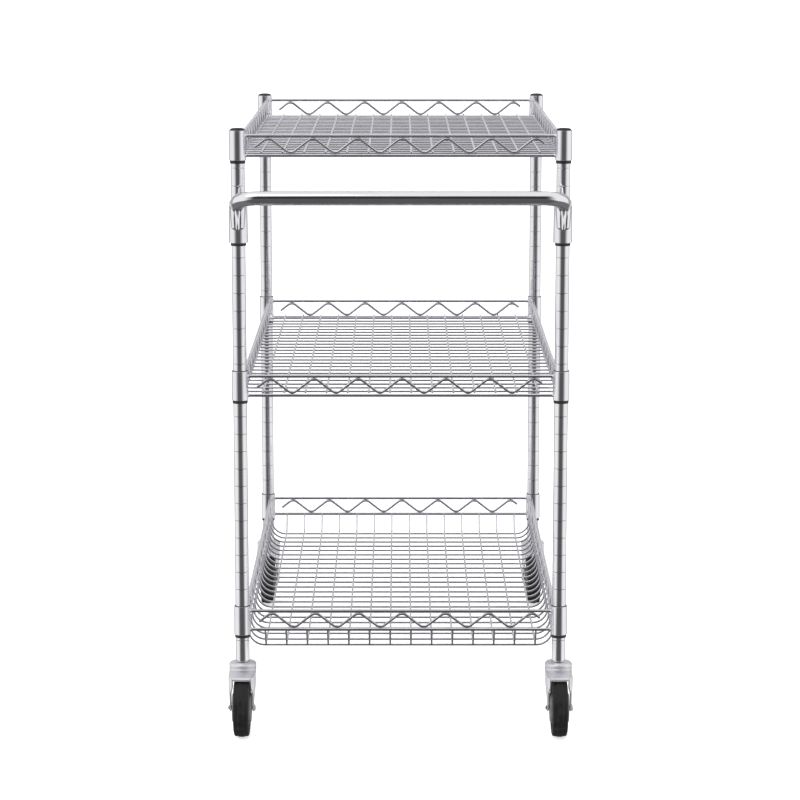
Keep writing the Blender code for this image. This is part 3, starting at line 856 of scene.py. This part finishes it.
def handle_stations(height, foot, clear):
    """(place, under, side, (pinch, width, depth, narrow)) along half the handle, from middle to foot."""
    back = Vector((0, math.cos(HANDLE_TILT), -math.sin(HANDLE_TILT)))
    under = Vector((0, -math.sin(HANDLE_TILT), -math.cos(HANDLE_TILT)))
    out, front = Vector((1, 0, 0)), Vector((0, -1, 0))
    corner = Vector((HALF_X - HANDLE_BEND, -HALF_Y - HANDLE_REACH, height))
    plain = (0.0, 1.0, ELBOW_DEPTH, 1.0)
    stations = [(Vector((0, corner.y, corner.z)), under, back, plain)]
    for k in range(BEND_STEPS + 1):
        a = math.pi / 2 * k / BEND_STEPS
        place = corner + out * HANDLE_BEND * math.sin(a) + back * HANDLE_BEND * (1 - math.cos(a))
        stations.append((place, under, back * math.cos(a) - out * math.sin(a), plain))
    foot_y = -HALF_Y - clear - PINCH_DEPTH / 2
    elbow = math.pi / 2 - HANDLE_TILT
    rise = ELBOW_BEND * (1 - math.sin(HANDLE_TILT))
    start = corner + out * HANDLE_BEND + back * ((foot_y - rise - corner.y) / back.y)
    centre = start + under * ELBOW_BEND
    for k in range(ELBOW_STEPS + 1):
        share = k / ELBOW_STEPS
        a = share * elbow
        to_under = under * math.cos(a) - back * math.sin(a)
        pinch = PINCH_START + (1 - PINCH_START) * share**PINCH_EASE
        shape = (pinch, 1 + (ELBOW_WIDTH - 1) * pinch, ELBOW_DEPTH, 1.0)
        stations.append((centre - to_under * ELBOW_BEND, to_under, -out, shape))
    top = stations[-1][0].z
    for k in range(1, FOOT_STEPS + 1):
        share = k / FOOT_STEPS
        z = top + (foot + FOOT_ROUND - top) * share
        width = ELBOW_WIDTH + (FOOT_WIDTH - ELBOW_WIDTH) * share
        depth = ELBOW_DEPTH + (FOOT_DEPTH - ELBOW_DEPTH) * share
        stations.append((Vector((HALF_X, foot_y, z)), front, -out, (1.0, width, depth, 1.0)))
    for k in range(1, FOOT_STEPS + 1):
        a = math.pi / 2 * k / FOOT_STEPS
        z = foot + FOOT_ROUND * (1 - math.sin(a))
        narrow = 1 - FOOT_ROUND / HANDLE_RADIUS * (1 - math.cos(a))
        shape = (1.0, FOOT_WIDTH, FOOT_DEPTH, narrow)
        stations.append((Vector((HALF_X, foot_y, z)), front, -out, shape))
    return stations


def add_handle():
    low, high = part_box("push_handle")
    height = high.z - HANDLE_RADIUS
    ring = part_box("handle_collar_right")
    collar_radius = (ring[1].x - ring[0].x) / 2
    clear = collar_radius + PINCH_CLEAR
    angles = [FULL_TURN * k / HANDLE_SIDES for k in range(HANDLE_SIDES)]
    half = []
    for place, under, side, shape in handle_stations(height, low.z, clear):
        section = [handle_section(angle, *shape, clear) for angle in angles]
        half.append([place + side * a + under * u for a, u in section])
    mirrored = [[Vector((-p.x, p.y, p.z)) for p in row] for row in reversed(half[1:])]
    tube = mesh_of("handle_tube", [skinned(mirrored + half)])
    add_piece("handle_tube", tube, "push_handle", "chrome_tube", (0, MIDDLE_Y, 0))
    clamp = mesh_of("handle_clamp", [collar(ring[0].z, ring[1].z, collar_radius)])
    low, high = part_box("sleeve_handle_left")
    wall = (high.x - low.x) / 2
    sleeve = mesh_of("split_handle_sleeve", sleeve_halves(low.z, high.z, wall))
    for side, x in (("left", -HALF_X), ("right", HALF_X)):
        place = (x, MIDDLE_Y - HALF_Y, 0)
        add_piece(f"handle_clamp_{side}", clamp, f"handle_collar_{side}", "chrome_tube", place)
        add_piece(f"split_sleeve_handle_{side}", sleeve, f"sleeve_handle_{side}", "black_plastic", place)


# --- Casters: the swivel axis is x = y = 0, the wheel trails towards -Y ---


def socket_mesh():
    low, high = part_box("caster_socket_front_left")
    post_low, post_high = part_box("post_front_left")
    radius = (post_high.x - post_low.x) / 2
    plug = radius - POST_WALL - GAP
    flange = post_low.z - GAP
    profile = rounded(
        [
            (STEM_BORE, low.z, 0),
            (radius, low.z, SOCKET_EDGE),
            (radius, flange, SOCKET_EDGE),
            (plug, flange, 0),
            (plug, high.z, SOCKET_TOP_ROUND),
            (STEM_BORE, high.z, 0),
        ],
        steps=3,
    )
    return mesh_of("stem_socket", [], [turned(profile)])


def stem_mesh():
    """The fixed stem, with the riveted flange below that carries the swivel head."""
    low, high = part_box("caster_stem_front_left")
    flange = (high.x - low.x) / 2
    seat = low.z + RIVET_HEIGHT
    rivet = [(flange - inset, low.z + rise) for inset, rise in RIVET_EDGE]
    stem = [
        (flange, seat - RIVET_CHAMFER),
        (flange - RIVET_CHAMFER, seat),
        (STEM_RADIUS, seat),
        (STEM_RADIUS, high.z - STEM_TIP[1]),
        (STEM_RADIUS - STEM_TIP[0], high.z),
    ]
    return mesh_of("swivel_stem", [turned([(0, low.z), *rivet, *stem, (0, high.z)])])


def cheek_level(z):
    """The cheek's (outer, curl, rear, front) at a height, on a smooth curve through its levels."""
    last = len(CHEEK_LEVELS) - 1
    k = next((i for i in range(last) if z >= CHEEK_LEVELS[i + 1][0]), last - 1)
    near = [CHEEK_LEVELS[min(max(i, 0), last)] for i in (k - 1, k, k + 1, k + 2)]
    t = (near[1][0] - z) / (near[1][0] - near[2][0])
    values = []
    for before, first, second, after in list(zip(*near))[1:]:
        rise, fall = (second - before) / 2, (after - first) / 2
        values.append(
            first * (2 * t**3 - 3 * t**2 + 1) + rise * (t**3 - 2 * t**2 + t)
            + second * (3 * t**2 - 2 * t**3) + fall * (t**3 - t**2)
        )
    return values


def cheek_row(side, z, outer, curl, rear, front, lean):
    """A closed row of points round the cheek's sheet at one height, with both edges rounded."""
    length = min(CHEEK_CURL_LENGTH, (rear - front) / 2)
    line = [(outer, rear - (rear - front - length) * k / 4) for k in range(5)]
    line += [(outer - curl * (k / 6) ** 2, front + length * (1 - k / 6)) for k in range(1, 7)]
    skins = []
    for i, (x, y) in enumerate(line):
        before, after = Vector(line[max(i - 1, 0)]), Vector(line[min(i + 1, len(line) - 1)])
        along = (after - before).normalized()
        skins.append((Vector((x, y)), along, Vector((along.y, -along.x))))
    row = [place for place, _, _ in skins]
    place, along, inward = skins[-1]
    for share, bulge in EDGE_POINTS:
        row.append(place + (inward * share + along * EDGE_BULGE * bulge) * CHEEK_THICKNESS)
    row += [place + inward * CHEEK_THICKNESS for place, _, inward in reversed(skins)]
    place, along, inward = skins[0]
    for share, bulge in reversed(EDGE_POINTS):
        row.append(place + (inward * share - along * EDGE_BULGE * bulge) * CHEEK_THICKNESS)
    return [(side * p.x, p.y, z + min(p.y, 0.0) * lean) for p in row]


def cheek(side, axle_z):
    """A fork cheek: a curled sheet that sweeps forward to a round end at the axle."""
    top = CHEEK_LEVELS[0][0]
    rows = []
    for k in range(CHEEK_STEPS + 1):
        z = top + (axle_z - top) * k / CHEEK_STEPS
        lean = SHEET_SLOPE * max(0.0, 1 - (top - z) / LEAN_DEPTH) ** LEAN_EASE
        rows.append(cheek_row(side, z, *cheek_level(z), lean))
    outer = CHEEK_LEVELS[-1][1]
    for a in CHEEK_END_ANGLES:
        half = CHEEK_END_RADIUS * math.cos(a)
        z = axle_z - CHEEK_END_RADIUS * math.sin(a)
        rows.append(cheek_row(side, z, outer, 0.0, half - CASTER_TRAIL, -half - CASTER_TRAIL, 0.0))
    return skinned(rows)


def head(low, high, radius):
    """The swivel head: a domed cap whose rim stands proud of the ring below it."""
    corners = [(STEM_BORE, low, 0)]
    corners += [(radius - inset, low + rise, rounding) for inset, rise, rounding in HEAD_RING]
    corners += [(radius - inset, high.z - fall, rounding) for inset, fall, rounding in HEAD_DOME]
    corners += [(STEM_BORE + HEAD_MOUTH, high.z, HEAD_MOUTH_ROUND), (STEM_BORE, high.z, 0)]
    return turned(rounded(corners), HEAD_SIDES)


def tongue_route():
    """(y, z, half-width) along the sheet over the wheel: down its slope, round its bend and down its lip."""
    turn_y = TONGUE_FRONT + TONGUE_BEND - LIP_SET
    turn_z = TONGUE_TOP + SHEET_SLOPE * (turn_y - TONGUE_REAR) - TONGUE_BEND
    over = arc((turn_y, turn_z), TONGUE_BEND, TONGUE_BEND_START, math.pi - LIP_LEAN, TONGUE_BEND_STEPS)
    route = [(y, TONGUE_TOP + SHEET_SLOPE * (y - TONGUE_REAR), width) for y, width in TONGUE_RUN]
    first, last = BEND_WIDTHS
    route += [(y, z, first + (last - first) * k / TONGUE_BEND_STEPS) for k, (y, z) in enumerate(over)]
    y, z = over[-1]
    for share, width in LIP_RUN:
        drop = (z - LIP_LOW) * share
        route.append((max(y - drop * math.tan(LIP_LEAN), TONGUE_FRONT), z - drop, width))
    return route


def tongue():
    """The sheet over the wheel: it slopes forwards, falls away at its sides and turns down into a lip."""
    route = tongue_route()
    places = [2 * k / TONGUE_COLUMNS - 1 for k in range(TONGUE_COLUMNS + 1)]
    rows = []
    for i, (y, z, width) in enumerate(route):
        before, after = route[max(i - 1, 0)], route[min(i + 1, len(route) - 1)]
        along = Vector((after[0] - before[0], after[1] - before[1])).normalized()
        inward = Vector((-along.y, along.x)) * TONGUE_THICKNESS
        row = []
        for depth, order in ((0, places), (1, places[::-1])):
            for place in order:
                across = width * place
                fall = min(max((abs(across) - FALL_START) / FALL_WIDTH, 0.0), 1.0)
                droop = inward * (depth + FALL_DEPTH * fall**2)
                row.append((across, y + droop.x, z + droop.y))
        rows.append(row)
    return softened(skinned(rows), TONGUE_EDGE)


def fork_mesh(centre):
    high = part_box("caster_fork_front_left")[1]
    axle_z = middle("tyre_front_left").z
    head_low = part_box("caster_stem_front_left")[0].z + HEAD_SEAT
    shapes = [head(head_low, high, high.y - centre.y), tongue()]
    shapes += [cheek(side, axle_z) for side in (-1, 1)]
    return mesh_of("pressed_fork", shapes)


def bolt_mesh():
    """Axle bolt along local Z: a hexagon nut at one end, a peened end at the other."""
    low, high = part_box("axle_bolt_front_left")
    reach = (high.x - low.x) / 2
    peened = [(BOLT_RADIUS * size, -reach + depth) for size, depth in BOLT_TIP]
    threaded = [(BOLT_RADIUS * size, reach - depth) for size, depth in BOLT_HEAD]
    bolt = turned([(0, -reach), *peened, *threaded, (0, reach)], BOLT_SIDES)
    levels = (
        (BOLT_SEAT, NUT_CHAMFER[0]),
        (BOLT_SEAT + NUT_CHAMFER[1], 1.0),
        (reach - NUT_SHOULDER, 1.0),
        (reach - NUT_TOP[1], NUT_TOP[0]),
    )
    turns = [k * FULL_TURN / 6 for k in range(6)]
    nut = [
        [(NUT_RADIUS * size * math.cos(t), NUT_RADIUS * size * math.sin(t), z) for t in turns]
        for z, size in levels
    ]
    return mesh_of("hex_bolt", [bolt], [skinned(nut)], turn=ALONG_X)


def both_sides(side):
    """A wheel's outline from one side's (radius, half-width, rounding) points and their mirror image."""
    return side + [(r, -width, rounding) for r, width, rounding in reversed(side)]


def tyre_mesh():
    """A rubber tyre with a raised running band, rounded shoulders and a moulded line on each side."""
    low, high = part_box("tyre_front_left")
    half, radius = (high.x - low.x) / 2, (high.z - low.z) / 2
    side = [(r, half - inset, rounding) for r, inset, rounding in TYRE_SIDE]
    side.append((radius - TYRE_SHOULDER[0], half - TYRE_SHOULDER[1], TYRE_SHOULDER[2]))
    side.append((radius - BAND_STEP[0], BAND_HALF_WIDTH + BAND_STEP[1], BAND_ROUND[0]))
    side.append((radius, BAND_HALF_WIDTH, BAND_ROUND[1]))
    return mesh_of("rubber_tyre", [turned(rounded(both_sides(side)), WHEEL_SIDES)], turn=ALONG_X)


def hub_mesh():
    """The wheel's rim with a dished thread guard on each side."""
    low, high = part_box("wheel_core_front_left")
    half = (high.x - low.x) / 2
    side = [(BOLT_RADIUS + HUB_BORE_GAP, half, 0)]
    side += [(r, half - inset, rounding) for r, inset, rounding in HUB_SIDE]
    side += [(r, RIM_HALF_WIDTH, RIM_ROUND) for r in (GUARD_RADIUS, RIM_RADIUS)]
    return mesh_of("wheel_hub", [turned(rounded(both_sides(side), steps=3), WHEEL_SIDES)], turn=ALONG_X)


def add_casters():
    socket, stem, fork = socket_mesh(), stem_mesh(), fork_mesh(POSTS["front_left"])
    bolt, tyre, hub = bolt_mesh(), tyre_mesh(), hub_mesh()
    for corner, post in POSTS.items():
        place = (post.x, post.y, 0)
        node = f"caster_socket_{corner}"
        add_piece(f"stem_socket_{corner}", socket, node, "zinc_steel", place, "chrome_tube")
        add_piece(f"swivel_stem_{corner}", stem, f"caster_stem_{corner}", "zinc_steel", place)
        add_piece(f"pressed_fork_{corner}", fork, f"caster_fork_{corner}", "zinc_steel", place)
        axle = middle(f"tyre_{corner}")
        add_piece(f"hex_bolt_{corner}", bolt, f"axle_bolt_{corner}", "dark_steel", axle, "zinc_steel")
        add_piece(f"rubber_tyre_{corner}", tyre, f"tyre_{corner}", "tyre_rubber", axle)
        add_piece(f"wheel_hub_{corner}", hub, f"wheel_core_{corner}", "wheel_plastic", axle)


# --- Stage ---


def add_floor():
    """A wide pale floor, left out of the chrome's reflections so that they show the studio."""
    shape = bmesh.new()
    bmesh.ops.create_grid(shape, x_segments=1, y_segments=1, size=FLOOR_SIZE)
    mesh = bpy.data.meshes.new("floor")
    shape.to_mesh(mesh)
    shape.free()
    f = Finish("floor", 0.0)
    f.shader.inputs["Specular IOR Level"].default_value = 0.0
    f.shader.inputs["Emission Color"].default_value = (1.0, 1.0, 1.0, 1.0)
    f.shader.inputs["Emission Strength"].default_value = FLOOR_GLOW
    cloud = f.noise(2.0)
    colour = f.blended(cloud, (0.90, 0.90, 0.90), (0.92, 0.92, 0.92))
    roughness = f.spread(cloud, 0.0, 1.0, 0.85, 0.95)
    mesh.materials.append(f.finish(colour, roughness, f.bump(cloud, 0.02, 0.001)))
    floor = bpy.data.objects.new("floor", mesh)
    bpy.context.scene.collection.objects.link(floor)
    floor.location.z = cad_box[0][2]
    floor.visible_glossy = False


class Sky:
    """The studio round the cart, as light by direction: x and y across, z up."""

    def __init__(self):
        self.world = bpy.data.worlds.new("studio")
        self.world.use_nodes = True
        self.tree = self.world.node_tree
        self.tree.nodes.clear()
        direction = self.tree.nodes.new("ShaderNodeTexCoord").outputs["Generated"]
        split = self.tree.nodes.new("ShaderNodeSeparateXYZ")
        self.tree.links.new(direction, split.inputs["Vector"])
        self.x, self.y, self.z = split.outputs

    def math(self, operation, *values):
        node = self.tree.nodes.new("ShaderNodeMath")
        node.operation = operation
        for socket, value in zip(node.inputs, values):
            if isinstance(value, (int, float)):
                socket.default_value = value
            else:
                self.tree.links.new(value, socket)
        return node.outputs["Value"]

    def ramp(self, value, low, high, first, last):
        node = self.tree.nodes.new("ShaderNodeMapRange")
        node.interpolation_type = "SMOOTHSTEP"
        numbers = (("From Min", low), ("From Max", high), ("To Min", first), ("To Max", last))
        for socket, number in numbers:
            if isinstance(number, (int, float)):
                node.inputs[socket].default_value = number
            else:
                self.tree.links.new(number, node.inputs[socket])
        self.tree.links.new(value, node.inputs["Value"])
        return node.outputs["Result"]

    def light(self, brightness):
        node = self.tree.nodes.new("ShaderNodeBackground")
        node.inputs["Color"].default_value = (1.0, 1.0, 1.0, 1.0)
        if isinstance(brightness, (int, float)):
            node.inputs["Strength"].default_value = brightness
        else:
            self.tree.links.new(brightness, node.inputs["Strength"])
        return node.outputs["Background"]

    def mixed(self, share, first, last):
        node = self.tree.nodes.new("ShaderNodeMixShader")
        self.tree.links.new(share, node.inputs[0])
        self.tree.links.new(first, node.inputs[1])
        self.tree.links.new(last, node.inputs[2])
        return node.outputs["Shader"]


def add_studio():
    """White walls, a dark gap in front and a grey floor, which chrome mirrors. The air stays white.

    A heading of 0 is towards the handle, and each pair of degrees is the start and the end of a change.
    """
    sky = Sky()
    heading = sky.math("ABSOLUTE", sky.math("ARCTAN2", sky.x, sky.math("MULTIPLY", sky.y, -1.0)))
    height = sky.math("ARCSINE", sky.z)
    degrees = math.radians
    darkest = sky.ramp(height, degrees(-5), degrees(6), *FRONT_GAP)
    gap = sky.ramp(heading, degrees(17), degrees(63), darkest, WALLS)
    behind = sky.ramp(height, 0.0, degrees(8), *BEHIND_RISE)
    rear = sky.math(
        "SUBTRACT",
        sky.ramp(heading, degrees(116), degrees(128), 0.0, REAR_DROP),
        sky.ramp(heading, degrees(150), degrees(160), 0.0, behind),
    )
    walls = sky.math("SUBTRACT", gap, rear)
    upper = sky.ramp(height, degrees(34), degrees(46), walls, OVERHEAD)
    ground = sky.ramp(heading, degrees(30), degrees(70), *GROUND)
    edge = sky.ramp(heading, degrees(30), degrees(70), degrees(-13), degrees(-22))
    below = sky.ramp(sky.math("SUBTRACT", height, edge), degrees(-5), degrees(3), ground, upper)
    paths = sky.tree.nodes.new("ShaderNodeLightPath")
    soft = sky.ramp(sky.x, -0.9, 0.9, *SOFT_LIGHT)
    seen = sky.mixed(paths.outputs["Is Glossy Ray"], sky.light(soft), sky.light(below))
    whole = sky.mixed(paths.outputs["Is Camera Ray"], seen, sky.light(AIR))
    output = sky.tree.nodes.new("ShaderNodeOutputWorld")
    sky.tree.links.new(whole, output.inputs["Surface"])
    sky.world.cycles.sampling_method = "NONE"
    bpy.context.scene.world = sky.world


def add_lamp():
    """A wide soft box overhead that models the rubber and plastic."""
    lamp = bpy.data.lights.new("soft_box", "AREA")
    lamp.shape = "DISK"
    lamp.size = LAMP_SIZE
    lamp.energy = LAMP_POWER
    holder = bpy.data.objects.new("soft_box", lamp)
    bpy.context.scene.collection.objects.link(holder)
    holder.location = LAMP_PLACE
    holder.rotation_euler = (LAMP_AIM - holder.location).to_track_quat("-Z", "Y").to_euler()


def add_camera():
    camera = bpy.data.cameras.new("camera")
    camera.lens = CAMERA_LENS
    camera.shift_x = CAMERA_SHIFT
    camera.clip_end = CAMERA_REACH
    holder = bpy.data.objects.new("camera", camera)
    bpy.context.scene.collection.objects.link(holder)
    holder.location = CAMERA_PLACE
    holder.rotation_euler = (CAMERA_TILT, 0.0, 0.0)
    bpy.context.scene.camera = holder
    bpy.context.scene.view_settings.view_transform = "Standard"


add_camera()
add_studio()
add_lamp()
add_floor()
add_posts()
add_caps()
add_sleeves()
add_tiers()
add_handle()
add_casters()
